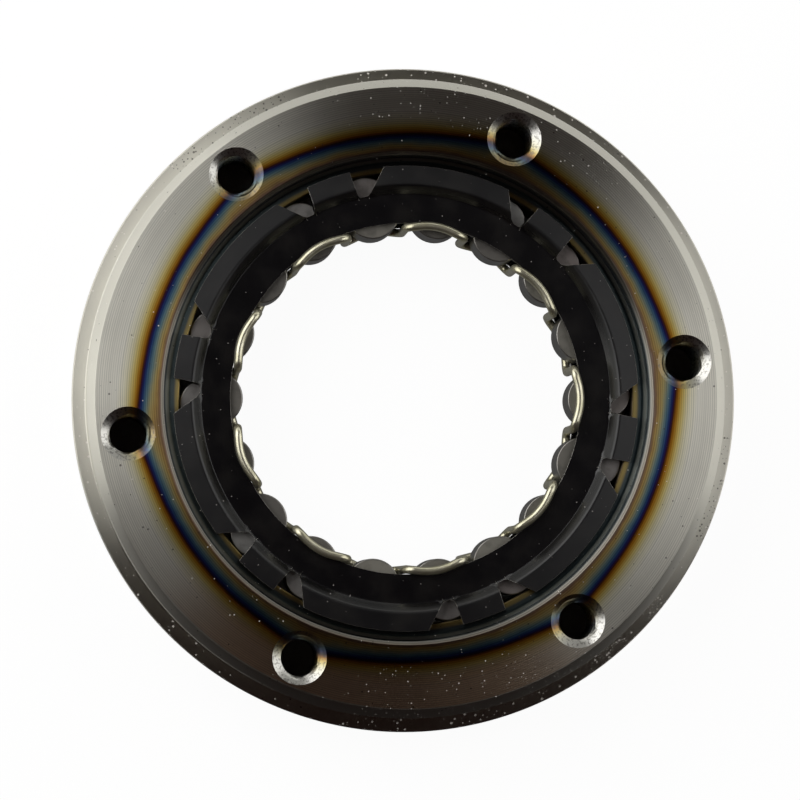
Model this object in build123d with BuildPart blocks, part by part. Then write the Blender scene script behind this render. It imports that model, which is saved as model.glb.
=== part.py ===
"""Sprag clutch for an engine starter: hardened outer ring, stamped cage, meander spring and 18 sprags.

Millimetres and degrees. +Z is the clutch axis and points out of the bolting face.
The origin is the centre of the back face. +X and +Y have no feature of their own: the bolt
circle and the tabs are turned from +X by the angles named below.
The hub that the sprags grip isn't part of this assembly.
"""
import os
from math import cos, radians, sin, sqrt

from build123d import *

# Outer ring
ring_d = 90.0
ring_h = 14.0
flange_h = 7.0  # the wide part at the back, under the boss
flange_edge = 0.5  # at the back
flange_front_edge = 0.15
step_w = 2.0  # from the flange's edge in to the boss
boss_bevel_w = 1.15
boss_bevel_h = 1.25
step_root_r = 0.3
race_d = 61.11  # the bore that the sprags wedge against
race_lead = 1.0
race_edge = 0.15
seat_d = 65.4  # counterbore over the race, where the cage tabs run
seat_depth = 2.6
seat_lip = 0.5
seat_relief_w = 0.6  # grinding relief in the corner of the counterbore
seat_relief_h = 0.3

# Bolt holes, tapped M6 right through
bolt_inset = 7.25  # from the flange's edge in to the bolt circle
bolt_count = 6
bolt_first_angle = 7.5
bolt_drill_d = 5.0
bolt_sink_d = 7.3
bolt_sink_angle = 120.0
bolt_back_sink_d = 6.0

# Sprags
hub_d = 44.45  # the starter gear's hub, which the sprags ride on
sprag_count = 18
free_reach = 0.275  # how far a free sprag stands inside the hub's surface
race_gap = 0.06
foot_cam_r = 3.7
head_cam_r = 3.43
cam_offset = 0.8  # tangential distance between the two cam centres
foot_half_w = 3.3
head_half_w = 3.0
waist_w = 4.7
sprag_corner_r = 0.4
sprag_edge = 0.2
sprag_end_gap = 0.1

# Cage: front plate with tabs, drum with a pocket for each sprag, rear plate
sheet_t = 0.8
drum_t = 0.7
plate_bore_gap = 1.45  # from the hub's surface to the bores of both plates
pocket_gap = 1.05  # each side of the waist, for the sprag's swing
tab_edge_gap = 1.4  # from the tabs' outer edges to the wall of the counterbore
tab_seat_gap = 0.05
tab_rise = 1.2  # from the front plate up to the crest of the tabs
tab_fall = 0.2  # from the crest down to the outer edge
crest_inset = 1.45  # from the race in to the crest
fold_gap = 0.55  # from the drum out to the fold, where the tabs rise
notch_root_gap = 0.35
notch_corner_r = 0.5
tab_sets = 6
# Each tab's width is given where its sides, drawn on, meet the plate's bore and the counterbore
wide_tab_angle = 19.7
wide_tab_root_w = 20.96
wide_tab_tip_w = 15.6
narrow_tab_angle = 49.7
narrow_tab_root_w = 6.25
narrow_tab_tip_w = 5.95

# Meander spring: one closed wire that passes in front of every other sprag and behind the rest
wire_d = 1.15
wire_gap = 0.05
leg_gap = 0.075
wire_bend_r = 1.15
crown_r = 8.0
crown_bulge = 1.15  # from the chord between two legs out to the crown's corner point
back_clearance = 0.2  # from the back face to the lowest wire

# Radii that follow from the sizes above
ring_r = ring_d / 2
boss_r = ring_r - step_w
bolt_circle_r = ring_r - bolt_inset
bolt_drill_r = bolt_drill_d / 2
race_r = race_d / 2
hub_r = hub_d / 2
seat_r = seat_d / 2
pivot_r = race_r - race_gap - head_cam_r
foot_centre_r = hub_r - free_reach + foot_cam_r
drum_outer_r = pivot_r + drum_t / 2
drum_inner_r = pivot_r - drum_t / 2
plate_bore_r = hub_r + plate_bore_gap
fold_r = drum_outer_r + fold_gap
notch_root_r = drum_outer_r + notch_root_gap
crest_r = race_r - crest_inset
tab_tip_r = seat_r - tab_edge_gap
leg_r = plate_bore_r - leg_gap - wire_d / 2

# Heights that follow from the sizes above
seat_z = ring_h - seat_depth
tab_tip_z = seat_z + tab_seat_gap
crest_z = tab_tip_z + tab_fall
front_plate_z = crest_z - tab_rise
rear_plate_z = back_clearance + wire_d + wire_gap
front_wire_z = front_plate_z + sheet_t + wire_gap + wire_d / 2
rear_wire_z = back_clearance + wire_d / 2
sprag_bottom_z = rear_plate_z + sheet_t + sprag_end_gap
sprag_top_z = front_plate_z - sprag_end_gap

sprag_pitch = 360 / sprag_count

# The sprag's section, with X out along its spoke
head_centre_r = sqrt(pivot_r**2 - cam_offset**2)
foot_edge_r = foot_centre_r - sqrt(foot_cam_r**2 - foot_half_w**2)
head_edge_r = head_centre_r + sqrt(head_cam_r**2 - head_half_w**2)
waist_r = (foot_edge_r + head_edge_r) / 2
waist_offset = cam_offset / 2


def spoke_point(radius, angle, height):
    """The point at a radius and height on the spoke that stands at an angle from +X."""
    return (radius * cos(radians(angle)), radius * sin(radians(angle)), height)


# --- Outer ring -------------------------------------------------------------------------
with BuildPart() as outer_ring:
    with BuildSketch(Plane.XZ) as ring_section:
        with BuildLine():
            Polyline(
                (race_r + race_lead, 0),
                (ring_r - flange_edge, 0),
                (ring_r, flange_edge),
                (ring_r, flange_h - flange_front_edge),
                (ring_r - flange_front_edge, flange_h),
                (boss_r, flange_h),
                (boss_r, ring_h - boss_bevel_h),
                (boss_r - boss_bevel_w, ring_h),
                (seat_r + seat_lip, ring_h),
                (seat_r, ring_h - seat_lip),
                (seat_r, seat_z - seat_relief_h),
                (seat_r - seat_relief_w, seat_z - seat_relief_h),
                (seat_r - seat_relief_w - seat_relief_h, seat_z),
                (race_r + race_edge, seat_z),
                (race_r, seat_z - race_edge),
                (race_r, race_lead),
                close=True,
            )
        make_face()
        step_root = ring_section.vertices().sort_by_distance((boss_r, flange_h, 0))[0]
        fillet(step_root, radius=step_root_r)
    revolve(axis=Axis.Z)
    with PolarLocations(bolt_circle_r, bolt_count, start_angle=bolt_first_angle):
        with Locations((0, 0, ring_h)):
            CounterSinkHole(
                radius=bolt_drill_r,
                counter_sink_radius=bolt_sink_d / 2,
                depth=ring_h,
                counter_sink_angle=bolt_sink_angle,
            )
        Cone(
            bottom_radius=bolt_back_sink_d / 2,
            top_radius=bolt_drill_r,
            height=bolt_back_sink_d / 2 - bolt_drill_r,
            align=(Align.CENTER, Align.CENTER, Align.MIN),
            mode=Mode.SUBTRACT,
        )

# --- Cage -------------------------------------------------------------------------------
with BuildPart() as cage:
    # Front plate and tabs: one sheet that dishes up over the fold and falls to the tabs' edges
    with BuildSketch(Plane.XZ):
        with BuildLine():
            under = Polyline(
                (plate_bore_r, front_plate_z),
                (fold_r, front_plate_z),
                (crest_r, crest_z),
                (tab_tip_r, tab_tip_z),
            )
            offset(under, amount=sheet_t, side=Side.LEFT, kind=Kind.ARC)
        make_face()
    revolve(axis=Axis.Z)
    with BuildSketch(Plane.XY.offset(front_plate_z)) as notches:
        Circle(seat_r)
        Circle(notch_root_r, mode=Mode.SUBTRACT)
        for first_angle, root_w, tip_w in (
            (wide_tab_angle, wide_tab_root_w, wide_tab_tip_w),
            (narrow_tab_angle, narrow_tab_root_w, narrow_tab_tip_w),
        ):
            with PolarLocations(0, tab_sets, start_angle=first_angle):
                Polygon(
                    (plate_bore_r, -root_w / 2),
                    (seat_r, -tip_w / 2),
                    (seat_r, tip_w / 2),
                    (plate_bore_r, root_w / 2),
                    align=None,
                    mode=Mode.SUBTRACT,
                )
        root_corners = notches.vertices().sort_by_distance((0, 0, front_plate_z))
        fillet(root_corners[: 4 * tab_sets], radius=notch_corner_r)
    extrude(amount=seat_depth, mode=Mode.SUBTRACT)
    # Drum, up to the underside of the front plate, and the rear plate
    with BuildSketch(Plane.XY.offset(rear_plate_z)):
        Circle(drum_outer_r)
        Circle(drum_inner_r, mode=Mode.SUBTRACT)
    extrude(amount=front_plate_z - rear_plate_z)
    with BuildSketch(Plane.XY.offset(rear_plate_z)):
        Circle(drum_outer_r)
        Circle(plate_bore_r, mode=Mode.SUBTRACT)
    extrude(amount=sheet_t)
    # Pockets, from plate to plate
    with BuildSketch(Plane.XY.offset(rear_plate_z + sheet_t)):
        with PolarLocations(pivot_r, sprag_count):
            with Locations((0, waist_offset)):
                Rectangle(2 * drum_t, waist_w + 2 * pocket_gap)
    extrude(amount=front_plate_z - rear_plate_z - sheet_t, mode=Mode.SUBTRACT)

# --- Meander spring ---------------------------------------------------------------------
# One wave of the wire, from half way up one leg to half way up the leg two pitches on
leg_angle = sprag_pitch / 2
crown_point_r = leg_r * cos(radians(leg_angle)) + crown_bulge
mid_wire_z = (rear_wire_z + front_wire_z) / 2
wave_points = (
    spoke_point(leg_r, -leg_angle, mid_wire_z),
    spoke_point(leg_r, -leg_angle, front_wire_z),
    spoke_point(crown_point_r, 0, front_wire_z),
    spoke_point(leg_r, leg_angle, front_wire_z),
    spoke_point(leg_r, leg_angle, rear_wire_z),
    spoke_point(crown_point_r, sprag_pitch, rear_wire_z),
    spoke_point(leg_r, sprag_pitch + leg_angle, rear_wire_z),
    spoke_point(leg_r, sprag_pitch + leg_angle, mid_wire_z),
)
with BuildPart() as spring_wave:
    with BuildLine() as wave_line:
        FilletPolyline(*wave_points, radius=(wire_bend_r, crown_r, wire_bend_r) * 2)
    with BuildSketch(Plane(origin=wave_line.line @ 0, z_dir=wave_line.line % 0)):
        Circle(wire_d / 2)
    sweep()

with BuildPart() as meander_spring:
    with PolarLocations(0, sprag_count // 2):
        add(spring_wave.part)

# --- Sprags -----------------------------------------------------------------------------
# The head's centre is the axis that the sprag rocks about, so its head keeps to the race
with BuildPart() as sprag_blank:
    with BuildSketch(Plane.XY.offset(sprag_bottom_z)) as sprag_section:
        with BuildLine():
            foot = ThreePointArc(
                (foot_edge_r, -foot_half_w),
                (foot_centre_r - foot_cam_r, 0),
                (foot_edge_r, foot_half_w),
            )
            head = ThreePointArc(
                (head_edge_r, cam_offset - head_half_w),
                (head_centre_r + head_cam_r, cam_offset),
                (head_edge_r, cam_offset + head_half_w),
            )
            ThreePointArc(foot @ 0, (waist_r, waist_offset - waist_w / 2), head @ 0)
            ThreePointArc(foot @ 1, (waist_r, waist_offset + waist_w / 2), head @ 1)
        make_face()
        fillet(sprag_section.vertices(), radius=sprag_corner_r)
    extrude(amount=sprag_top_z - sprag_bottom_z)
    end_edges = sprag_blank.faces().filter_by(Axis.Z).edges()
    chamfer(end_edges, length=sprag_edge)

pieces = {
    "outer_ring": outer_ring,
    "sprag_cage": cage,
    "meander_spring": meander_spring,
}
for number in range(sprag_count):
    with BuildPart() as sprag:
        with PolarLocations(0, 1, start_angle=number * sprag_pitch):
            add(sprag_blank.part)
    pieces[f"sprag_{number + 1:02d}"] = sprag

os.makedirs("parts", exist_ok=True)
for name, piece in pieces.items():
    piece.part.label = name
    export_step(piece.part, f"parts/{name}.step")
    print(f"{name}: {piece.part.volume:.1f} mm3")
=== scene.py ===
# %% [markdown]
# # A sprag clutch, dressed over its solids
# A sprag clutch lets an engine's starter gear drive one way and run free the other. Its
# hardened outer ring is bolted down, and 18 sprags stand in a black cage between the ring's
# bore and the gear's hub. The solids give every place and size. The cells below give each
# solid a finer surface in the same place: turned steel with its heat tint, tapped holes,
# a pressed cage, a bright wire spring and ground sprags.

import bmesh
import bpy
import numpy as np
from mathutils import Matrix, Vector


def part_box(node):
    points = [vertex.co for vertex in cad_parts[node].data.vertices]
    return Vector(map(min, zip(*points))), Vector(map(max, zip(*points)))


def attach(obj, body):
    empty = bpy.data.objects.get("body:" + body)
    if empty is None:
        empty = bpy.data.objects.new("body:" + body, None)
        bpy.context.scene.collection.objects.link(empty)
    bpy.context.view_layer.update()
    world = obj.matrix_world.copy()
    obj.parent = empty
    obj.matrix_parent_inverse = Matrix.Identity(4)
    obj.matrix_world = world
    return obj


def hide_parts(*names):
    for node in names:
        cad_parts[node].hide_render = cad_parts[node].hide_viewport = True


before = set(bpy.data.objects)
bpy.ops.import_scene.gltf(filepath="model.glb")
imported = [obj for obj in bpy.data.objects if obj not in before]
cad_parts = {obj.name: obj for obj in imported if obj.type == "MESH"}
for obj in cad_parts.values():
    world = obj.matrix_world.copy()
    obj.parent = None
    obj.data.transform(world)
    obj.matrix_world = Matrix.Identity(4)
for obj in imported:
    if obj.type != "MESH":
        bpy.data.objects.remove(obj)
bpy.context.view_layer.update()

# %% [markdown]
# ## Sizes
# Millimetres suit a part of this size, so every length below is in millimetres and every angle
# in degrees, and one factor turns them into Blender's metres when a mesh is made. The overall
# sizes come from the solids' boxes. The rest repeats the drawing that the solids were made from.

# %% Units and the sizes that the solids' boxes give
MM = 0.001
DEG = np.pi / 180


def top_corner(node):
    """The highest corner of a solid's box, in millimetres."""
    return Vector(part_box(node)[1]) / MM


ring_r, _, ring_h = top_corner("outer_ring")
sprag_top_z = top_corner("sprag_01").z
sprag_bottom_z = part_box("sprag_01")[0][2] / MM
spring_top_z = top_corner("meander_spring").z
print(f"ring {2 * ring_r:.1f} mm across and {ring_h:.1f} mm high")

# %% Sizes from the drawing
flange_h = 7.0
flange_edge = 0.5
flange_front_edge = 0.15
step_w = 2.0
bevel_w = 1.15
bevel_h = 1.25
step_root_r = 0.3
race_r = 30.555
race_lead = 1.0
race_edge = 0.15
seat_r = 32.7
seat_depth = 2.6
seat_lip = 0.5
relief_w = 0.6
relief_h = 0.3

hole_count = 6
first_hole = 7.5
hole_circle_r = ring_r - 7.25
thread_minor_r = 2.5
thread_pitch = 1.0
thread_depth = 0.5
thread_flat = 0.12  # of half a pitch, at the crests and at the roots
front_sink_r = 3.65
front_sink_slope = np.tan(60 * DEG)
back_sink_r = 3.0

step_r = ring_r - step_w
bevel_r = step_r - bevel_w
lip_r = seat_r + seat_lip

hub_r = 22.225
sprag_count = 18
sprag_pitch = 360 / sprag_count
sheet_t = 0.8
drum_t = 0.7
drum_r = 27.065
plate_bore_r = 23.675
front_plate_z = 10.45
rear_plate_z = 1.4
print(f"face from radius {lip_r:.2f} to {bevel_r:.2f}, with {hole_count} holes")

# %% [markdown]
# ## Helpers for surfaces
# Almost every surface here is a line carried round or along another line. Blender could spin
# or sweep curves with its own tools, but a grid of points worked out with numpy says exactly
# where each point lies, and whole arrays are quick. Drawing a line with sharp corners and
# rounding them afterwards keeps its few corner points readable.


# %% Rounded lines
def unit(vectors):
    """Each vector divided by its own length."""
    return vectors / np.linalg.norm(vectors, axis=-1, keepdims=True)


def rounded_path(corners, radii, closed=True, arc_points=7):
    """Straight lines from corner to corner, with each corner replaced by an arc.

    With u and v the directions from a corner to its two neighbours and h half the angle
    between them, the arc's centre lies r / sin(h) along their bisector, and the arc touches
    the two sides r / tan(h) from the corner. The points on it turn evenly from end to end.
    """
    corners = np.asarray(corners, dtype=float)
    radii = np.broadcast_to(radii, len(corners))[:, None]
    u = unit(np.roll(corners, 1, axis=0) - corners)
    v = unit(np.roll(corners, -1, axis=0) - corners)
    half = np.arccos(np.clip((u * v).sum(axis=1, keepdims=True), -1, 1)) / 2
    centre = corners + unit(u + v) * radii / np.sin(half)
    start = corners + u * radii / np.tan(half) - centre
    end = corners + v * radii / np.tan(half) - centre
    turn = (np.pi - 2 * half)[:, None]
    along = np.linspace(0, 1, arc_points)[None, :, None]
    arcs = np.sin((1 - along) * turn) * start[:, None] + np.sin(along * turn) * end[:, None]
    points = centre[:, None] + arcs / np.sin(turn)
    if closed:
        return points.reshape(-1, corners.shape[1])
    middle = points[1:-1].reshape(-1, corners.shape[1])
    return np.concatenate([corners[:1], middle, corners[-1:]])


def arc_through(start, middle, end, count=17):
    """Points of the circle through three points, turning evenly from the first to the last.

    The centre is where the bisectors of the two chords cross.
    """
    start, middle, end = (np.asarray(point, dtype=float) for point in (start, middle, end))
    chords = np.stack([middle - start, end - middle])
    centre = np.linalg.solve(2 * chords, ((middle**2 - start**2).sum(), (end**2 - middle**2).sum()))
    spokes = np.stack([start, middle, end]) - centre
    angles = np.unwrap(np.arctan2(spokes[:, 1], spokes[:, 0]))
    turns = np.linspace(angles[0], angles[2], count)
    radius = np.linalg.norm(spokes[0])
    return centre + radius * np.stack([np.cos(turns), np.sin(turns)], axis=1)


# %% Grids and meshes
def revolved(profile, angles):
    """A line of (radius, height) turned about Z: x = r cos a, y = r sin a, z = h."""
    radius, height = np.asarray(profile).T
    angles = np.asarray(angles)[:, None] * DEG
    x = radius * np.cos(angles)
    y = radius * np.sin(angles)
    return np.stack([x, y, height + 0 * x], axis=-1)


def grid_faces(rows, columns, wrap_rows=False, wrap_columns=False):
    """The four corners of every cell, for points that are stored row after row."""
    row, column = np.meshgrid(
        np.arange(rows - (not wrap_rows)), np.arange(columns - (not wrap_columns)), indexing="ij"
    )
    next_row = (row + 1) % rows
    next_column = (column + 1) % columns
    corners = [
        row * columns + column,
        next_row * columns + column,
        next_row * columns + next_column,
        row * columns + next_column,
    ]
    return np.stack(corners, axis=-1).reshape(-1, 4)


def turned(points, angle):
    """Points turned about Z by an angle."""
    cosine, sine = np.cos(angle * DEG), np.sin(angle * DEG)
    return points @ np.array([[cosine, sine, 0], [-sine, cosine, 0], [0, 0, 1]])


def make_piece(name, patches, crisp=28):
    """One object from patches of (points, faces, material number).

    Points within 2 thousandths of a millimetre become one, and edges where the surface turns
    by more than the crisp angle stay sharp in the shading.
    """
    points, faces, numbers = [], [], []
    first = 0
    for patch_points, patch_faces, number in patches:
        patch_points = np.asarray(patch_points).reshape(-1, 3)
        points.append(patch_points)
        faces.extend((np.asarray(patch_faces) + first).tolist())
        numbers.extend([number] * len(patch_faces))
        first += len(patch_points)
    mesh = bpy.data.meshes.new(name)
    mesh.from_pydata(np.concatenate(points) * MM, [], faces)
    mesh.polygons.foreach_set("material_index", numbers)
    mesh.polygons.foreach_set("use_smooth", [True] * len(numbers))
    work = bmesh.new()
    work.from_mesh(mesh)
    bmesh.ops.remove_doubles(work, verts=work.verts, dist=0.002 * MM)
    bmesh.ops.recalc_face_normals(work, faces=work.faces)
    work.to_mesh(mesh)
    work.free()
    mesh.set_sharp_from_angle(angle=crisp * DEG)
    piece = bpy.data.objects.new(name, mesh)
    bpy.context.scene.collection.objects.link(piece)
    print(f"{name}: {len(mesh.polygons)} faces")
    return piece


# %% [markdown]
# ## The outer ring
# The real ring is turned on a lathe from one blank, so its surface is one section carried round
# the axis. Only the two flat faces are different, because six tapped holes break them. A hole
# could be cut with a Boolean modifier, but that leaves long uneven faces round it. Here each
# sixth of a flat face is its own patch, with lines that run out from the hole's edge to the
# patch's rim, and its rim points fall on the turned surface's own points.

# %% The turned surfaces of the ring
ring_corners = (
    (ring_r - flange_edge, 0),
    (ring_r, flange_edge),
    (ring_r, flange_h - flange_front_edge),
    (ring_r - flange_front_edge, flange_h),
    (step_r, flange_h),
    (step_r, ring_h - bevel_h),
    (bevel_r, ring_h),
    (lip_r, ring_h),
    (seat_r, ring_h - seat_lip),
    (seat_r, ring_h - seat_depth - relief_h),
    (seat_r - relief_w, ring_h - seat_depth - relief_h),
    (seat_r - relief_w - relief_h, ring_h - seat_depth),
    (race_r + race_edge, ring_h - seat_depth),
    (race_r, ring_h - seat_depth - race_edge),
    (race_r, race_lead),
    (race_r + race_lead, 0),
)
edge_r = 0.08
corner_radii = np.full(len(ring_corners), edge_r)
step_root, lip_corner, race_corners = 4, 7, [12, 13]
corner_radii[step_root] = step_root_r
corner_radii[race_corners] = edge_r / 2
section = rounded_path(ring_corners, corner_radii)
front_face_starts = len(section) // len(ring_corners) * lip_corner
outside = section[:front_face_starts]
inside = section[front_face_starts:]

hole_pitch = 360 / hole_count
ring_step = 1.5
ring_angles = first_hole + hole_pitch / 2 + np.arange(0, 360, ring_step)
ring_patches = [
    (revolved(part, ring_angles), grid_faces(len(ring_angles), len(part), wrap_rows=True), 0)
    for part in (outside, inside)
]


# %% Flat faces with holes, and the tapped walls
def sector_rim(inner_r, outer_r, side_cells=8):
    """The closed rim of one sixth of a flat ring: inner arc, one side, outer arc, other side."""
    half = hole_pitch / 2
    arc = np.arange(-half, half, ring_step)
    side = np.arange(side_cells) / side_cells
    radius = np.concatenate([
        np.full(len(arc), inner_r),
        inner_r + (outer_r - inner_r) * side,
        np.full(len(arc), outer_r),
        outer_r + (inner_r - outer_r) * side,
    ])
    angle = np.concatenate([arc, np.full(side_cells, half), -arc, np.full(side_cells, -half)]) * DEG
    return np.stack([radius * np.cos(angle), radius * np.sin(angle)], axis=1)


def holed_sector(inner_r, outer_r, hole_r, height, rows=5):
    """Points on straight lines from a hole's edge out to the sector's rim.

    Each line leaves the hole's centre through one rim point, so point = edge + t (rim - edge).
    """
    rim = sector_rim(inner_r, outer_r)
    centre = np.array([hole_circle_r, 0])
    edge = centre + hole_r * unit(rim - centre)
    t = np.linspace(0, 1, rows)[:, None, None]
    flat = edge + t * (rim - edge)
    return np.concatenate([flat, np.full(flat.shape[:2] + (1,), height)], axis=-1)


def tapped_wall(inner_r, outer_r, rows=85):
    """The wall of one hole, round the same lines as its sector and down from front to back.

    The radius is the largest of the front countersink, whose cone is 120 degrees wide, the back
    countersink, 90 degrees wide, and the thread: a V that climbs one pitch for each turn.
    """
    spokes = unit(sector_rim(inner_r, outer_r) - np.array([hole_circle_r, 0]))
    cone_depth = (front_sink_r - thread_minor_r) / front_sink_slope
    cone = np.linspace(ring_h, ring_h - cone_depth, 5)[:-1]
    height = np.concatenate([cone, np.linspace(ring_h - cone_depth, 0, rows)])[:, None]
    turn = np.arctan2(spokes[:, 1], spokes[:, 0]) / (2 * np.pi)
    ridge = np.abs(2 * ((height / thread_pitch - turn) % 1) - 1)
    thread = thread_minor_r + thread_depth * np.clip((ridge - thread_flat) / (1 - 2 * thread_flat), 0, 1)
    front = front_sink_r - (ring_h - height) * front_sink_slope
    back = back_sink_r - height
    radius = np.maximum(np.maximum(thread, front), back)
    radius[0] = front_sink_r
    radius[-1] = back_sink_r
    x = hole_circle_r + radius * spokes[:, 0]
    y = radius * spokes[:, 1]
    return np.stack([x, y, height + 0 * x], axis=-1)


front_rim = (inside[0, 0], outside[-1, 0])
back_rim = (inside[-1, 0], outside[0, 0])
sector_patches = [
    (holed_sector(*front_rim, front_sink_r, ring_h), 0),
    (holed_sector(*back_rim, back_sink_r, 0.0), 0),
]
for number in range(hole_count):
    for points, material in sector_patches:
        rows, columns = points.shape[:2]
        place = turned(points, first_hole + number * hole_pitch)
        ring_patches.append((place, grid_faces(rows, columns, wrap_columns=True), material))

# %% [markdown]
# The front and the back of a hole are met by different sectors, because the rims have
# different radii. The wall follows the front one, and its last row is the back one's own edge,
# so both ends close.

# %% Close the holes and make the ring
hole_wall = tapped_wall(*front_rim)
hole_wall[-1] = holed_sector(*back_rim, back_sink_r, 0.0)[0]
wall_faces = grid_faces(*hole_wall.shape[:2], wrap_columns=True)
for number in range(hole_count):
    ring_patches.append((turned(hole_wall, first_hole + number * hole_pitch), wall_faces, 1))
outer_ring = make_piece("turned_outer_ring", ring_patches)
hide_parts("outer_ring")
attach(outer_ring, "ring")

# %% [markdown]
# ## The cage
# The cage is pressed from thin steel sheet. Its front plate dishes up over the race and is
# notched into long and short tabs, whose sides run straight. Cutting the notches with Booleans
# would leave ragged rims, so the sheet is two polar grids, one for each face, whose columns
# bend to follow the tabs' sides. The cells of the notches are left out, and walls close the
# sheet wherever a kept cell has no kept neighbour.

# %% The sheet's section and its tabs
tab_sets = 6
tab_pitch = 360 / tab_sets
tab_angles = (19.7, 49.7)
tab_root_widths = (20.96, 6.25)
tab_tip_widths = (15.6, 5.95)
fold_r = 27.965
notch_root_r = 27.765
crest_r = 29.105
tab_tip_r = 31.3
crest_z = 11.65
tab_tip_z = 11.45


def moved_sideways(path, distance):
    """An open line moved to its left by a distance.

    Each corner moves along the sum of its two sides' normals, divided by 1 plus the normals'
    product, so that both sides move by the same distance.
    """
    path = np.asarray(path, dtype=float)
    along = unit(np.diff(path, axis=0))
    normal = np.stack([-along[:, 1], along[:, 0]], axis=1)
    before = np.concatenate([normal[:1], normal])
    after = np.concatenate([normal, normal[-1:]])
    share = 1 + (before * after).sum(axis=1, keepdims=True)
    return path + distance * (before + after) / share


underside = (
    (plate_bore_r, front_plate_z),
    (fold_r, front_plate_z),
    (crest_r, crest_z),
    (tab_tip_r, tab_tip_z),
)
lower_line = rounded_path(underside, (0.1, 0.8, 0.3, 0.1), closed=False)
upper_line = rounded_path(moved_sideways(underside, sheet_t), (0.1, 0.14, 0.5, 0.1), closed=False)
upper_tip_r = upper_line[-1, 0]

# %% The front plate as a grid that bends to the tabs' sides
first_bend_r = 27.1
plate_rows = np.linspace(plate_bore_r, first_bend_r, 5)[:-1]
fold_rows = np.linspace(first_bend_r, notch_root_r, 7)[:-1]
tab_rows = np.linspace(notch_root_r, upper_tip_r, 33)
row_r = np.concatenate([plate_rows, fold_rows, tab_rows])
root_row = len(plate_rows) + len(fold_rows)

# Each set of columns: a wide tab, a notch, a narrow tab, a notch
span_cells = (32, 14, 12, 14)
notch_round = 0.5
notch_half_w = 0.78
bend_fade = 1.2  # from a notch's floor out to where the columns run even again


def tab_side(tab, side, radius):
    """The angle at which a tab's side crosses a radius.

    The side is the line y = a - b x beside the tab's own spoke, so it crosses the circle where
    r sin t = a - b r cos t, which gives t = arcsin(a / (r sqrt(1 + b^2))) - arctan b. Inside
    the notches' floors the columns run straight on along the spokes.
    """
    radius = np.maximum(radius, notch_root_r)
    lean = (tab_root_widths[tab] - tab_tip_widths[tab]) / 2 / (seat_r - plate_bore_r)
    reach = tab_root_widths[tab] / 2 + lean * plate_bore_r
    turn = np.arcsin(reach / (radius * np.sqrt(1 + lean**2))) - np.arctan(lean)
    return tab_angles[tab] + side * turn / DEG


def evened(cells, is_notch):
    """Fractions across a span: even over a tab, and closer together at the sides of a notch."""
    even = np.arange(cells) / cells
    return (1 - np.cos(np.pi * even)) / 2 if is_notch else even


columns_t = np.concatenate([evened(n, i % 2 == 1) for i, n in enumerate(span_cells)])
columns_span = np.repeat(np.arange(4), span_cells)
in_notch = columns_span % 2 == 1
at_side = columns_t == 0
across = np.abs(2 * columns_t - 1)
floor_end = 1 - notch_round / notch_half_w
bend = np.clip((across - floor_end) / (1 - floor_end), 0, 1)
floor_shift = np.where(in_notch | at_side, notch_round * (1 - np.sqrt(1 - bend**2)), 0)
below = np.clip((row_r - first_bend_r) / (notch_root_r - first_bend_r), 0, 1)
above = np.clip(1 - (row_r - notch_root_r) / bend_fade, 0, 1)
sheet_r = row_r[:, None] + np.minimum(below, above)[:, None] * floor_shift


def sheet_face(line, radii):
    """One face of the sheet: columns between the tabs' sides, and heights from a section line."""
    sides = [tab_side(tab, side, radii) for tab in (0, 1) for side in (-1, 1)]
    sides = np.stack([*sides, sides[0] + tab_pitch])
    column = np.arange(len(columns_t))
    start = sides[columns_span, :, column].T
    end = sides[columns_span + 1, :, column].T
    angle = start + columns_t * (end - start)
    angle = np.concatenate([angle + number * tab_pitch for number in range(tab_sets)], axis=1) * DEG
    radii = np.tile(radii, tab_sets)
    height = np.interp(radii, line[:, 0], line[:, 1])
    return np.stack([radii * np.cos(angle), radii * np.sin(angle), height], axis=-1)


def slab(upper, lower, keep):
    """A sheet between two grids that close on themselves sideways: both faces of the kept
    cells, and a wall below each side of a kept cell that has no kept neighbour there."""
    rows, columns = upper.shape[:2]
    cells = grid_faces(rows, columns, wrap_columns=True).reshape(rows - 1, columns, 4)
    count = rows * columns
    none = np.zeros((1, columns), dtype=bool)
    neighbours = (
        np.roll(keep, 1, axis=1),
        np.concatenate([keep[1:], none]),
        np.roll(keep, -1, axis=1),
        np.concatenate([none, keep[:-1]]),
    )
    faces = [cells[keep], cells[keep] + count]
    for side, neighbour in enumerate(neighbours):
        edge = cells[keep & ~neighbour][:, [side, (side + 1) % 4]]
        faces.append(np.concatenate([edge, edge[:, ::-1] + count], axis=1))
    points = np.concatenate([upper.reshape(-1, 3), lower.reshape(-1, 3)])
    return points, np.concatenate(faces), 0


upper_face = sheet_face(upper_line, sheet_r)
inward = np.interp(sheet_r, (crest_r, upper_tip_r), (0, upper_tip_r - tab_tip_r))
lower_face = sheet_face(lower_line, sheet_r - inward)
keep = np.ones((len(row_r) - 1, len(columns_t) * tab_sets), dtype=bool)
keep[root_row:] = ~np.tile(in_notch, tab_sets)
front_plate = make_piece("cage_front_plate", [slab(upper_face, lower_face, keep)])


def soften(piece, edge, segments=2, material=-1):
    """Bevel rounds every edge that turns by more than 40 degrees, and the rounded rims may
    take a material of their own."""
    rims = piece.modifiers.new("soft edges", "BEVEL")
    rims.width = edge * MM
    rims.segments = segments
    rims.limit_method = "ANGLE"
    rims.angle_limit = 40 * DEG
    rims.harden_normals = True
    rims.material = material


soften(front_plate, 0.1, material=1)

# %% [markdown]
# The drum and the rear plate are one pressed cup: a bent line carried round the axis, with the
# cells of 18 pockets left out. Its walls are seen only from below and through the bore, so
# Solidify can give this sheet its thickness, half on each side.

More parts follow.
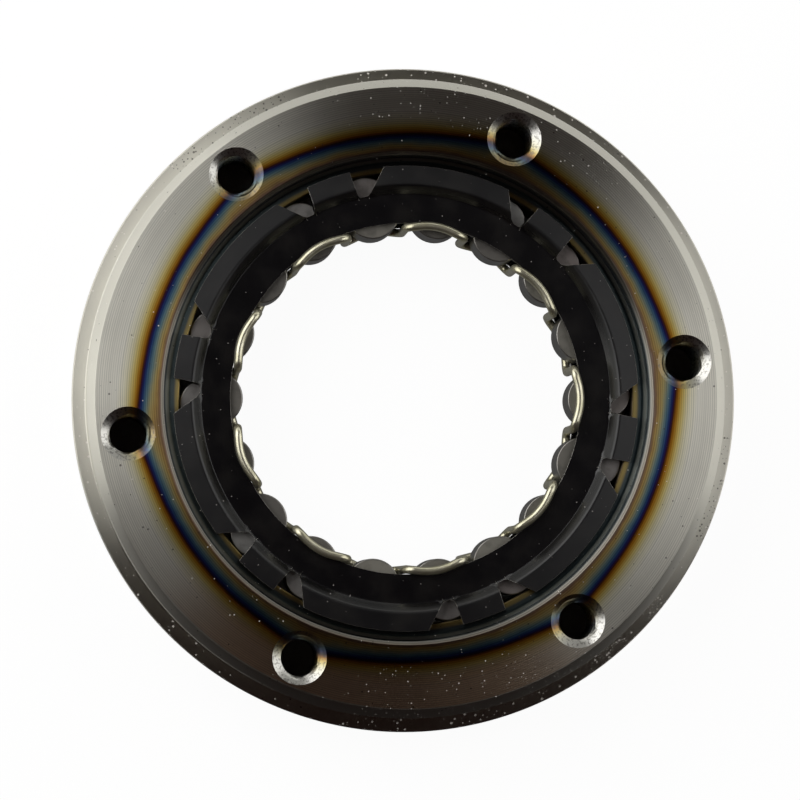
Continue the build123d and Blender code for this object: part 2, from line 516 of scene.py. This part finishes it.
# %% The cup: rear plate and drum
cup_bend = 0.4
pocket_half_w = 3.4
pocket_shift = 0.4
rear_middle_z = rear_plate_z + sheet_t / 2
cup_line = rounded_path(
    ((plate_bore_r, rear_middle_z), (drum_r, rear_middle_z), (drum_r, front_plate_z)),
    cup_bend,
    closed=False,
)
drum_z = np.linspace(cup_line[-2, 1], front_plate_z, 9)[1:]
plate_r = np.linspace(plate_bore_r, cup_line[1, 0], 5)[:-1]
cup_line = np.concatenate([
    np.stack([plate_r, np.full(len(plate_r), rear_middle_z)], axis=1),
    cup_line[1:-1],
    np.stack([np.full(len(drum_z), drum_r), drum_z], axis=1),
])
pocket_half = np.arcsin(pocket_half_w / drum_r) / DEG
pocket_turn = np.arcsin(pocket_shift / drum_r) / DEG
pocket_cells, web_cells = 12, 4
pocket_t = np.linspace(pocket_turn - pocket_half, pocket_turn + pocket_half, pocket_cells + 1)
web_t = np.linspace(pocket_turn + pocket_half, pocket_turn - pocket_half + sprag_pitch, web_cells + 1)
pitch_angles = np.concatenate([pocket_t[:-1], web_t[:-1]])
cup_angles = (pitch_angles + sprag_pitch * np.arange(sprag_count)[:, None]).ravel()
cup_grid = revolved(cup_line, cup_angles)
cup_cells = grid_faces(len(cup_angles), len(cup_line), wrap_rows=True)
cup_cells = cup_cells.reshape(len(cup_angles), len(cup_line) - 1, 4)
open_rows = cup_line[:-1, 1] >= rear_middle_z + cup_bend - 0.001
open_columns = np.tile(np.arange(pocket_cells + web_cells) < pocket_cells, sprag_count)
cup_cells = cup_cells[~(open_columns[:, None] & open_rows)]
cup = make_piece("cage_drum", [(cup_grid, cup_cells, 0)])
wall = cup.modifiers.new("sheet thickness", "SOLIDIFY")
wall.thickness = drum_t * MM
wall.offset = 0
wall.use_even_offset = True
soften(cup, 0.07, material=1)
for piece in (front_plate, cup):
    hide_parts("sprag_cage")
    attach(piece, "cage")

# %% [markdown]
# ## The meander spring
# One closed wire weaves in front of every other sprag and behind the rest, and pushes them
# against the hub. A curve object with a round bevel would do, but its bends would be guesses.
# Here the wire's middle line is drawn with straight legs and arcs, and a circle is carried
# along it, turned at each point to stand square to the line.

# %% The wire's line
wire_d = 1.15
leg_r = 23.025
leg_angle = sprag_pitch / 2
crown_rise = 1.15
leg_bend_r = 1.15
crown_bend_r = 8.0
crown_r = leg_r * np.cos(leg_angle * DEG) + crown_rise
front_wire_z = spring_top_z - wire_d / 2
rear_wire_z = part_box("meander_spring")[0][2] / MM + wire_d / 2
wave = np.array([
    (leg_r, -leg_angle, front_wire_z),
    (crown_r, 0, front_wire_z),
    (leg_r, leg_angle, front_wire_z),
    (leg_r, leg_angle, rear_wire_z),
    (crown_r, sprag_pitch, rear_wire_z),
    (leg_r, sprag_pitch + leg_angle, rear_wire_z),
])
waves = np.tile(wave, (sprag_count // 2, 1))
waves[:, 1] += np.repeat(np.arange(sprag_count // 2) * 2 * sprag_pitch, len(wave))
wave_corners = np.stack(
    [waves[:, 0] * np.cos(waves[:, 1] * DEG), waves[:, 0] * np.sin(waves[:, 1] * DEG), waves[:, 2]],
    axis=1,
)
bend_radii = np.tile((leg_bend_r, crown_bend_r, leg_bend_r), len(wave_corners) // 3)
wire_line = rounded_path(wave_corners, bend_radii, arc_points=13)


# %% The wire's surface
def tube(line, radius, sides=20):
    """A round wire along a closed line. At each point the line's direction is the difference of
    its neighbours, one spoke points away from Z as squarely as it can, and the other spoke is
    their cross product: point = line + r (cos a spoke + sin a other)."""
    direction = unit(np.roll(line, -1, axis=0) - np.roll(line, 1, axis=0))
    outward = line * (1, 1, 0)
    spoke = unit(outward - (outward * direction).sum(axis=1, keepdims=True) * direction)
    other = np.cross(direction, spoke)
    angle = np.linspace(0, 2 * np.pi, sides, endpoint=False)[None, :, None]
    return line[:, None] + radius * (np.cos(angle) * spoke[:, None] + np.sin(angle) * other[:, None])


wire = tube(wire_line, wire_d / 2)
spring = make_piece(
    "meander_spring_wire",
    [(wire, grid_faces(*wire.shape[:2], wrap_rows=True, wrap_columns=True), 0)],
    crisp=60,
)
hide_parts("meander_spring")
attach(spring, "cage")

# %% [markdown]
# ## The sprags
# A sprag is a drawn steel bar with a waist, cut to length and ground at both ends. Its foot
# rides the hub and its head wedges against the race on a slightly smaller round, set to one
# side. The section is four arcs in a closed line, so one grid runs round the bar and one
# polygon closes each end, and a Bevel rounds the corners.

# %% The sprag's section
head_r = 3.43
head_half_w = 3.0
foot_r = 3.7
foot_half_w = 3.3
free_reach = 0.275  # past the hub's circle, until the hub is in
waist_half_w = 2.35
cam_offset = 0.8
sprag_edge = 0.2
pivot_r = drum_r
head_centre = np.sqrt(pivot_r**2 - cam_offset**2)
foot_centre = hub_r - free_reach + foot_r
foot_edge = foot_centre - np.sqrt(foot_r**2 - foot_half_w**2)
head_edge = head_centre + np.sqrt(head_r**2 - head_half_w**2)
waist_x = (foot_edge + head_edge) / 2
waist_y = cam_offset / 2
foot_ends = ((foot_edge, -foot_half_w), (foot_edge, foot_half_w))
head_ends = ((head_edge, cam_offset + head_half_w), (head_edge, cam_offset - head_half_w))
bar_section = np.concatenate([
    arc_through(foot_ends[0], (foot_centre - foot_r, 0), foot_ends[1])[:-1],
    arc_through(foot_ends[1], (waist_x, waist_y + waist_half_w), head_ends[0])[:-1],
    arc_through(head_ends[0], (head_centre + head_r, cam_offset), head_ends[1])[:-1],
    arc_through(head_ends[1], (waist_x, waist_y - waist_half_w), foot_ends[0])[:-1],
])

# %% Eighteen sprags, each turned into its own place
bar_rows = np.array([sprag_bottom_z, sprag_top_z])
bar_sides = np.concatenate([
    np.broadcast_to(bar_section, (2,) + bar_section.shape),
    np.broadcast_to(bar_rows[:, None, None], (2, len(bar_section), 1)),
], axis=-1)
bar_faces = grid_faces(2, len(bar_section), wrap_columns=True).tolist()
end_face = list(range(len(bar_section)))
sprags = []
for number in range(sprag_count):
    bar = turned(bar_sides, number * sprag_pitch)
    ends = [([*bar[0]], [end_face], 1), ([*bar[1]], [end_face], 1)]
    name = f"sprag_{number + 1:02d}"
    piece = make_piece(f"{name}_ground", [(bar, bar_faces, 0), *ends])
    soften(piece, sprag_edge, 3, material=2)
    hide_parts(name)
    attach(piece, name)
    sprags.append(piece)

# %% [markdown]
# ## A way to write finishes as sums
# A finish in Blender is a graph of nodes. A sum such as 1 - mask * 0.3 takes three nodes and
# their links, which hides the idea. This class wraps one output of a graph, and its operators
# add the Math nodes, so the sum can be written as it is thought.


# %% A graph that can be written as sums
class Value:
    """One output socket of a graph, which adds Math nodes when it is used in a sum."""

    def __init__(self, graph, socket):
        self.graph = graph
        self.socket = socket

    def maths(self, operation, *terms):
        """One Math node. The value that it is called on only says in which graph."""
        return self.graph.add("ShaderNodeMath", {"operation": operation}, dict(enumerate(terms)))

    def __add__(self, other):
        return self.maths("ADD", self, other)

    def __sub__(self, other):
        return self.maths("SUBTRACT", self, other)

    def __mul__(self, other):
        return self.maths("MULTIPLY", self, other)

    def __truediv__(self, other):
        return self.maths("DIVIDE", self, other)

    def __rsub__(self, other):
        return self.maths("SUBTRACT", other, self)

    def __rtruediv__(self, other):
        return self.maths("DIVIDE", other, self)

    __radd__ = __add__
    __rmul__ = __mul__


class Graph:
    """A node tree that is built by one method."""

    def __init__(self, tree):
        self.tree = tree
        tree.nodes.clear()

    def add(self, kind, settings=None, sockets=None, output=0):
        """Adds a node, sets its settings, fills its sockets with values or links, and returns
        one of its outputs. A colour ramp's stops are (position, colour) pairs."""
        node = self.tree.nodes.new(kind)
        for key, value in (settings or {}).items():
            if key == "stops":
                fill_ramp(node.color_ramp, value)
            else:
                setattr(node, key, value)
        for key, value in (sockets or {}).items():
            if isinstance(value, Value):
                self.tree.links.new(value.socket, node.inputs[key])
            else:
                node.inputs[key].default_value = value
        return Value(self, node.outputs[output]) if len(node.outputs) else None

    def finish(self, kind, output, target, sockets):
        """Adds the last shader and joins it to the graph's output."""
        shader = self.add(kind, None, sockets)
        self.add(target, None, {output: shader})


def fill_ramp(ramp, stops):
    """Puts (position, colour) stops on a colour ramp, which starts with two of its own."""
    while len(ramp.elements) < len(stops):
        ramp.elements.new(0.5)
    for element, (position, tone) in zip(ramp.elements, stops):
        element.position = position
        element.color = (*tone, 1)


# %% Helpers that every finish shares
middle_r = 38.0


def smooth_step(value, start, end):
    """0 before start, 1 after end, and a smooth rise between them."""
    sockets = {"Value": value, "From Min": start, "From Max": end}
    return value.graph.add("ShaderNodeMapRange", {"interpolation_type": "SMOOTHSTEP"}, sockets)


def mixed(graph, factor, first, second, blend="MIX"):
    """Two colours mixed by a factor."""
    settings = {"data_type": "RGBA", "blend_type": blend}
    return graph.add("ShaderNodeMix", settings, {0: factor, 6: first, 7: second}, output=2)


def colour(red, green, blue):
    """A colour that hides what is behind it."""
    return (red, green, blue, 1.0)


def place_of(graph):
    """The point on the piece, and its x, y and z in millimetres."""
    point = graph.add("ShaderNodeTexCoord", None, None, "Object")
    split = [graph.add("ShaderNodeSeparateXYZ", None, {0: point}, axis) for axis in range(3)]
    return point, [part / MM for part in split]


def radius_at(x, y):
    """The distance from the axis: the root of x squared plus y squared."""
    return x.maths("SQRT", x * x + y * y)


def noise(graph, point, scale, detail):
    """Soft noise round one half, for each metre as many lumps as the scale says."""
    sockets = {"Vector": point, "Scale": scale, "Detail": detail}
    return graph.add("ShaderNodeTexNoise", None, sockets)


def bumps(graph, height, strength, depth):
    """The direction of a surface that a height has roughened, with its depth in millimetres."""
    sockets = {"Strength": strength, "Distance": depth * MM, "Height": height}
    return graph.add("ShaderNodeBump", None, sockets)


def rolled_out(graph, x, y, z):
    """A flat place for small marks on a turned part: the way round it, measured at the middle
    of the face, and the way along its section, taken as radius minus twice the height."""
    around = y.maths("ARCTAN2", y, x) * middle_r
    return graph.add("ShaderNodeCombineXYZ", None, {0: around, 1: radius_at(x, y) - z * 2.0})


def facing(angle, centre, reach):
    """1 in one direction from the axis, in degrees, and fading to 0 over the reach."""
    off = angle.maths("ABSOLUTE", angle - centre)
    return 1 - smooth_step(off, reach * 0.5, reach)


def specks(graph, flat_place, cell, size, share):
    """Small round spots: 1 inside a spot. The place is divided into cells of a size in
    millimetres, only a share of the cells holds a spot, and no two spots are equally large."""
    settings = {"feature": "F1", "voronoi_dimensions": "2D"}
    sockets = {"Vector": flat_place, "Scale": 1 / cell}
    near = graph.add("ShaderNodeTexVoronoi", settings, sockets, "Distance")
    tone = graph.add("ShaderNodeTexVoronoi", settings, sockets, "Color")
    chance, girth = (graph.add("ShaderNodeSeparateXYZ", None, {0: tone}, part) for part in (0, 1))
    radius = (0.4 + girth * girth) * (size / cell)
    spot = 1 - smooth_step(near, radius * 0.6, radius)
    return spot * (1 - smooth_step(chance, share, share + 0.01))


def new_finish(name):
    """An empty material and its graph."""
    material = bpy.data.materials.new(name)
    material.use_nodes = True
    return material, Graph(material.node_tree)


# %% [markdown]
# ## Turned and tempered steel
# The ring's faces are turned, so fine grooves run round the axis: they stretch every highlight
# into a fan. Its bore was then hardened with heat, and the oxide that the heat left gets
# thicker towards the bore, from straw through amber, purple and blue to a second gold. Thin
# films could be worked out from light waves, but a ramp of the known temper colours over the
# radius is simpler and easier to adjust. The colour front bows outwards beside each hole.

# %% The temper colours, and a painted highlight in the counterbore
temper_start = 30.5
temper_end = 38.5
temper_stops_and_painted_highlight = (
    (30.5, (0.10, 0.08, 0.06)),
    (30.8, (0.52, 0.40, 0.16)),  # bronze shoulder
    (31.1, (0.42, 0.34, 0.17)),
    (31.4, (0.12, 0.155, 0.18)),  # slate floor of the counterbore
    (31.95, (0.12, 0.16, 0.19)),
    # Painted highlight: the light that the relief groove's rounded floor reflects is painted in as a
    # pale band
    (32.15, (0.50, 0.54, 0.54)),  # bright relief groove
    (32.45, (0.50, 0.54, 0.54)),
    (32.6, (0.09, 0.12, 0.155)),
    (32.75, (0.45, 0.45, 0.46)),  # bare lip
    (33.1, (0.42, 0.38, 0.36)),
    (33.27, (0.26, 0.16, 0.12)),  # rose brown
    (33.6, (0.48, 0.33, 0.13)),  # second gold
    (33.85, (0.46, 0.39, 0.19)),
    (34.1, (0.30, 0.33, 0.26)),
    (34.35, (0.16, 0.26, 0.31)),  # teal
    (34.65, (0.065, 0.14, 0.27)),
    (34.92, (0.026, 0.050, 0.20)),  # blue
    (35.15, (0.022, 0.016, 0.10)),  # indigo
    (35.4, (0.06, 0.018, 0.012)),  # purple brown
    (35.68, (0.33, 0.125, 0.014)),  # amber
    (35.95, (0.52, 0.28, 0.040)),
    (36.25, (0.66, 0.46, 0.12)),  # straw
    (36.6, (0.78, 0.65, 0.28)),
    (37.0, (0.85, 0.79, 0.54)),
    (37.5, (0.94, 0.92, 0.79)),
    (38.5, (1.0, 1.0, 1.0)),
)
bow_out = 1.1
bow_reach = 9.0
tint_centre_x = 0.1


def temper(graph, point, x, y):
    """The temper colour at a place, with the painted highlight of the relief groove, and the radius and
    angle that it was read at.

    The radius is shifted by bow_out / (1 + (a / bow_reach)^2), with a the angle to the
    nearest hole, so the colours bend outwards there. The shift fades out towards the lip of
    the counterbore. The heating coil stood a little off the centre, and a soft noise makes the
    bands wander, most of all in the second gold."""
    radius = radius_at(x - tint_centre_x, y)
    angle = y.maths("ARCTAN2", y, x) / DEG
    beside = angle.maths("PINGPONG", angle - first_hole, hole_pitch / 2)
    reach = smooth_step(radius, 33.0, 35.2)
    bow = bow_out * reach / (1 + (beside / bow_reach) * (beside / bow_reach))
    in_gold = smooth_step(radius, lip_r, lip_r + 0.3) * (1 - smooth_step(radius, 34.0, 35.4))
    drift = (noise(graph, point, 330.0, 3.0) - 0.5) * (0.12 + 0.5 * in_gold)
    position = (radius - bow + drift - temper_start) / (temper_end - temper_start)
    stops = [((r - temper_start) / (temper_end - temper_start), tone) for r, tone in temper_stops_and_painted_highlight]
    return graph.add("ShaderNodeValToRGB", {"stops": stops}, {0: position}), radius, angle


# %% The ring's finish
steel_tone = colour(0.74, 0.72, 0.64)
groove_pitch = 0.28
lip_groove_pitch = 0.26


def soft_patches(graph, point, size, low, high):
    """Soft patches of a size in millimetres: 0 below one level of the noise, 1 above another."""
    return smooth_step(noise(graph, point, 1 / (size * MM), 2.0), low, high)


def grooves(radius, pitch):
    """Waves that run round the axis: the sine of 2 pi r / pitch."""
    return radius.maths("SINE", radius * (2 * np.pi / pitch))


def turned_steel():
    """Grooves on the flat face, pits and dust in patches, and the temper colours.

    The flat face lies between the counterbore's lip and the bevel. Elsewhere the steel is
    ground smooth. On the viewer's side of the face a warm brown is painted over the steel, a
    painted reflection of the dark reddish room on that side."""
    material, graph = new_finish("turned tempered steel")
    point, (x, y, z) = place_of(graph)
    tint, radius, angle = temper(graph, point, x, y)
    past_face = smooth_step(radius, bevel_r - 0.25, bevel_r - 0.05)
    on_face = smooth_step(radius, lip_r, lip_r + 0.2) * (1 - past_face)
    on_lip = smooth_step(radius, seat_r - 0.1, seat_r) - smooth_step(radius, lip_r, lip_r + 0.1)
    on_step = smooth_step(radius, step_r - 0.2, step_r + 0.2)
    groove = grooves(radius, groove_pitch)
    feed = graph.add("ShaderNodeTexNoise", {"noise_dimensions": "1D"}, {"W": radius * 3.8, "Scale": 1.0})
    cloud = noise(graph, point, 90.0, 4.0)
    cut = groove * 0.14 + (feed - 0.5) * 0.4
    lip_cut = grooves(radius, lip_groove_pitch) * 0.22
    lines = cut * on_face + lip_cut * on_lip + 0.96 + (cloud - 0.5) * 0.2
    grey = mixed(graph, 1.0, steel_tone, tint, "MULTIPLY")
    shade = graph.add("ShaderNodeCombineXYZ", None, {0: lines, 1: lines, 2: lines})
    tone = mixed(graph, 1.0, grey, shade, "MULTIPLY")
    # Painted reflection: the face on the viewer's side is painted darker and warmer, standing in for the
    # dark reddish room that it reflects there
    painted_warm_reflection = facing(angle, -97, 50) * on_face * smooth_step(radius, 36.0, 38.0)
    tone = mixed(graph, painted_warm_reflection, tone, colour(0.95, 0.72, 0.57), "MULTIPLY")
    flat_place = rolled_out(graph, x, y, z)
    pitted = soft_patches(graph, point, 4.0, 0.36, 0.58)
    rusted = facing(angle, 123, 16) + facing(angle, -20, 16)
    pit_share = 0.008 + pitted * (0.012 + 0.8 * on_step * rusted)
    pits = specks(graph, flat_place, 0.5, 0.13, pit_share)
    tone = mixed(graph, pits * 0.75, tone, colour(0.07, 0.06, 0.05))
    dusty = soft_patches(graph, point, 4.0, 0.34, 0.56)
    dull = facing(angle, -75, 34) + facing(angle, 68, 40)
    bare = smooth_step(radius, 35.5, 37.5)
    dust_share = 0.008 + dusty * (0.13 * dull * bare + on_step * (0.06 + facing(angle, -43, 17)))
    dust = specks(graph, flat_place, 0.42, 0.085 + 0.06 * on_step, dust_share)
    tone = mixed(graph, dust, tone, colour(0.92, 0.88, 0.82))
    sockets = {
        "Base Color": tone,
        "Metallic": 1.0 - dust * 0.9,
        "Roughness": 0.30 + cloud * 0.07,
        "Anisotropic": 0.93,
        "Anisotropic Rotation": 0.25,
        "Normal": bumps(graph, groove * on_face, 0.6, 0.004),
    }
    graph.finish("ShaderNodeBsdfPrincipled", "Surface", "ShaderNodeOutputMaterial", sockets)
    return material


def hole_steel():
    """The drilled cones and threads: bright and nearly smooth, with a paler heat tint."""
    material, graph = new_finish("tapped hole steel")
    point, (x, y, _) = place_of(graph)
    tint, _, _ = temper(graph, point, x, y)
    grain = noise(graph, point, 2900.0, 4.0)
    patchy = smooth_step(grain, 0.50, 0.62)
    pale = mixed(graph, 0.12, tint, colour(1, 1, 1))
    tone = mixed(graph, 1.0, colour(0.66, 0.65, 0.61), pale, "MULTIPLY")
    tone = mixed(graph, patchy * 0.6, tone, colour(0.14, 0.13, 0.12))
    bump = bumps(graph, grain, 0.35, 0.02)
    sockets = {"Base Color": tone, "Metallic": 1.0, "Roughness": 0.28, "Normal": bump}
    graph.finish("ShaderNodeBsdfPrincipled", "Surface", "ShaderNodeOutputMaterial", sockets)
    return material


for finish in (turned_steel(), hole_steel()):
    outer_ring.data.materials.append(finish)
print("ring finishes:", [finish.name for finish in outer_ring.data.materials])

# %% [markdown]
# ## The other steels
# The cage is blackened by a hot oxide bath, which leaves a dense glossy black. It wears bright
# on the pressed edges, so the rims that Bevel made have a brighter steel of their own, and so
# have the sprags' rims. The spring is bare drawn wire, pale gold from its stress relief. The
# sprags are ground. Their feet are painted dull and warm, a painted shade under the cage plate,
# and their heads a little lighter, a painted light in the open notches by the race.


# %% Cage, spring and sprag finishes
def black_oxide():
    """Two blacks in clouds, a little dust, and a duller sheen where the tabs are rubbed."""
    material, graph = new_finish("black oxide")
    point, (x, y, z) = place_of(graph)
    cloud = noise(graph, point, 260.0, 6.0)
    dust = specks(graph, rolled_out(graph, x, y, z), 0.9, 0.085, 0.05)
    bluish, brownish = colour(0.002, 0.0018, 0.0026), colour(0.007, 0.006, 0.0058)
    tone = mixed(graph, smooth_step(cloud, 0.4, 0.7), bluish, brownish)
    tone = mixed(graph, dust, tone, colour(0.45, 0.42, 0.40))
    bump = bumps(graph, noise(graph, point, 2200.0, 2.0), 0.25, 0.01)
    rubbed = smooth_step(radius_at(x, y), fold_r, fold_r + 0.6)
    roughness = 0.20 + cloud * 0.1 + rubbed * 0.11
    sockets = {"Base Color": tone, "IOR": 1.65, "Roughness": roughness, "Normal": bump}
    graph.finish("ShaderNodeBsdfPrincipled", "Surface", "ShaderNodeOutputMaterial", sockets)
    return material


def bare_steel(name, light, dark, grain, metallic, roughness):
    """Plain worked steel: two tones in soft clouds of a grain size in millimetres."""
    material, graph = new_finish(name)
    point, _ = place_of(graph)
    cloud = noise(graph, point, 1 / (grain * MM), 4.0)
    tone = mixed(graph, smooth_step(cloud, 0.3, 0.7), light, dark)
    sockets = {
        "Base Color": tone,
        "Metallic": metallic,
        "Roughness": roughness + cloud * 0.1,
        "Normal": bumps(graph, cloud, 0.3, 0.008),
    }
    graph.finish("ShaderNodeBsdfPrincipled", "Surface", "ShaderNodeOutputMaterial", sockets)
    return material


def ground_end():
    """The sprags' ends: each sprag has a tone of its own, the heads are on the whole painted lighter, as
    painted light in the open notches, and the feet darker and warmer, as painted shade under the plate.
    """
    material, graph = new_finish("ground sprag end")
    point, (x, y, _) = place_of(graph)
    number = y.maths("ROUND", y.maths("ARCTAN2", y, x) / (DEG * sprag_pitch))
    own = graph.add("ShaderNodeTexWhiteNoise", {"noise_dimensions": "1D"}, {"W": number + 0.3})
    cloud = noise(graph, point, 700.0, 5.0)
    # Painted light and shade: the heads, open to the light in the notches, are painted lighter, and the
    # feet, in the shade under the plate, darker
    painted_light_at_heads = smooth_step(radius_at(x, y), 26.0, 27.5)
    foot_tone_in_painted_shade = mixed(graph, own, colour(0.30, 0.285, 0.245), colour(0.16, 0.15, 0.135))
    head_tone_in_painted_light = mixed(graph, own, colour(0.27, 0.235, 0.22), colour(0.34, 0.335, 0.32))
    tone = mixed(graph, painted_light_at_heads, foot_tone_in_painted_shade, head_tone_in_painted_light)
    tone = mixed(graph, smooth_step(cloud, 0.45, 0.75) * 0.4, tone, colour(0.05, 0.045, 0.04))
    sockets = {
        "Base Color": tone,
        "Metallic": 0.35,
        "Roughness": 0.42 + cloud * 0.1,
        "Normal": bumps(graph, cloud, 0.4, 0.01),
    }
    graph.finish("ShaderNodeBsdfPrincipled", "Surface", "ShaderNodeOutputMaterial", sockets)
    return material


oxide = black_oxide()
worn_edge = bare_steel(
    "worn sheet edge", colour(0.75, 0.72, 0.66), colour(0.30, 0.28, 0.25), 0.9, 0.9, 0.30
)
for piece in (front_plate, cup):
    piece.data.materials.append(oxide)
    piece.data.materials.append(worn_edge)
wire_steel = bare_steel(
    "drawn spring wire", colour(0.92, 0.88, 0.68), colour(0.72, 0.68, 0.48), 1.6, 0.92, 0.26
)
spring.data.materials.append(wire_steel)
sprag_side = bare_steel(
    "sprag side", colour(0.27, 0.26, 0.245), colour(0.19, 0.18, 0.165), 1.5, 0.85, 0.30
)
sprag_rim = bare_steel(
    "sprag rim", colour(0.40, 0.385, 0.36), colour(0.30, 0.285, 0.26), 1.0, 0.9, 0.25
)
sprag_end = ground_end()
for piece in sprags:
    for finish in (sprag_side, sprag_end, sprag_rim):
        piece.data.materials.append(finish)
print("finishes in all:", len(bpy.data.materials))

# %% [markdown]
# ## Table, lamps and surroundings
# Metal shows what is around it. Two large soft lamps stand left and right, the far edge of the
# white table and the wall behind it are bright, and the side where the viewer stands is dark,
# as is the ceiling. That gives turned steel its two bright fans and keeps the cage black. The
# table looks white to the camera, and it keeps the part's shadow.

# %% The table
table_half = 1500.0
corners = np.array([(-1, -1, 0), (1, -1, 0), (1, 1, 0), (-1, 1, 0)]) * table_half
table = make_piece("table_top", [(corners, [[0, 1, 2, 3]], 0)])


def white_table():
    """White to the camera, with real light and shade mixed in. Under the ring it is plain. Its
    reflection is dim inside the bore, which the part shades, and dark towards the viewer."""
    material, graph = new_finish("white table")
    _, (x, y, _) = place_of(graph)
    radius = radius_at(x, y)
    past_bore = smooth_step(radius, 23.9, 24.1)
    under_ring = past_bore * (1 - smooth_step(radius, 44.4, 44.6))
    room = smooth_step(y, -64.0, -30.0)
    camera = graph.add("ShaderNodeLightPath", None, None, "Is Camera Ray")
    glossy = graph.add("ShaderNodeLightPath", None, None, "Is Glossy Ray")
    through = graph.add("ShaderNodeLightPath", None, None, "Is Transmission Ray")
    seen = camera.maths("MAXIMUM", camera, through)
    reflected = 0.008 + 0.75 * room * (0.15 + 0.85 * past_bore)
    strength = camera.maths("MAXIMUM", seen * 1.08, glossy * reflected)
    plain = graph.add("ShaderNodeBsdfDiffuse", None, {"Color": colour(0.8, 0.8, 0.8)})
    glow = graph.add("ShaderNodeEmission", None, {"Color": colour(1, 1, 1), "Strength": strength})
    lit = seen.maths("MAXIMUM", seen * 0.88, glossy) * (1 - under_ring)
    both = graph.add("ShaderNodeMixShader", None, {0: lit, 1: plain, 2: glow})
    graph.add("ShaderNodeOutputMaterial", None, {"Surface": both})
    return material


table.data.materials.append(white_table())


# %% The lamps
def from_centre(azimuth, elevation, distance):
    """The point at a distance from the part's middle, in metres."""
    level = np.cos(elevation * DEG) * distance
    return Vector((
        level * np.cos(azimuth * DEG),
        level * np.sin(azimuth * DEG),
        np.sin(elevation * DEG) * distance + ring_h / 2,
    )) * MM


def softbox(name, azimuth, elevation, distance, width, height, brightness):
    """A rectangle of even white light that faces the part. A lamp's power is its brightness
    times its area times pi."""
    lamp = bpy.data.lights.new(name, "AREA")
    lamp.shape = "RECTANGLE"
    lamp.size = width * MM
    lamp.size_y = height * MM
    lamp.energy = brightness * np.pi * width * height * MM * MM
    place = bpy.data.objects.new(name, lamp)
    place.location = from_centre(azimuth, elevation, distance)
    aim = place.location - Vector((0, 0, ring_h / 2 * MM))
    place.rotation_euler = aim.to_track_quat("Z", "Y").to_euler()
    bpy.context.scene.collection.objects.link(place)
    print(f"{name}: {width} x {height} mm, {lamp.energy:.3f} W")


softbox("left_softbox", 153.5, 47, 320, 348, 240, 1.66)
softbox("right_softbox", 8, 48, 320, 208, 230, 1.2)


# %% The surroundings
def room_light():
    """White to the camera. To the part, a bright horizon behind and beside it, and a dark
    ceiling and viewer's side."""
    world = bpy.data.worlds.new("studio room")
    world.use_nodes = True
    bpy.context.scene.world = world
    graph = Graph(world.node_tree)
    direction = graph.add("ShaderNodeTexCoord", None, None, "Generated")
    x, y, z = (graph.add("ShaderNodeSeparateXYZ", None, {0: direction}, axis) for axis in range(3))
    low = 1 - smooth_step(z, 0.28, 0.62)
    far = smooth_step(y, -0.40, -0.16)
    sides = 0.82 + 0.3 * (x * x) - 0.1 * x
    wall = graph.add("ShaderNodeCombineXYZ", None, {0: sides, 1: sides, 2: sides * 0.96})
    tone = mixed(graph, low * far, colour(0.0085, 0.0038, 0.0034), wall)
    camera = graph.add("ShaderNodeLightPath", None, None, "Is Camera Ray")
    tone = mixed(graph, camera, tone, colour(1, 1, 1))
    graph.finish("ShaderNodeBackground", "Surface", "ShaderNodeOutputWorld", {"Color": tone})


room_light()
print("surroundings:", bpy.context.scene.world.name)

# %% [markdown]
# ## The camera
# The part is seen almost straight down, from 700 mm away, so a long lens is needed. The camera
# leans a little to the viewer's left, which shows the ring's outer step on that side.

# %% Camera
camera_distance = 700.0
camera_tilt = 4.2
camera_azimuth = 213.0
focal_length = 234.7
aim = Vector((-0.98, -0.32, ring_h)) * MM
lens = bpy.data.cameras.new("camera")
lens.sensor_width = 36.0
lens.lens = focal_length
lens.clip_start = 0.01
camera = bpy.data.objects.new("camera", lens)
lean = from_centre(camera_azimuth, 90 - camera_tilt, camera_distance) - Vector((0, 0, ring_h / 2 * MM))
camera.location = aim + lean
backward = lean.normalized()
right = Vector((0, 1, 0)).cross(backward).normalized()
up = backward.cross(right)
turn = Matrix((right, up, backward)).transposed()
camera.rotation_euler = turn.to_euler()
bpy.context.scene.collection.objects.link(camera)
bpy.context.scene.camera = camera
bpy.context.scene.view_settings.view_transform = "Standard"
print(f"camera {lean.length / MM:.0f} mm away, lens {focal_length} mm")
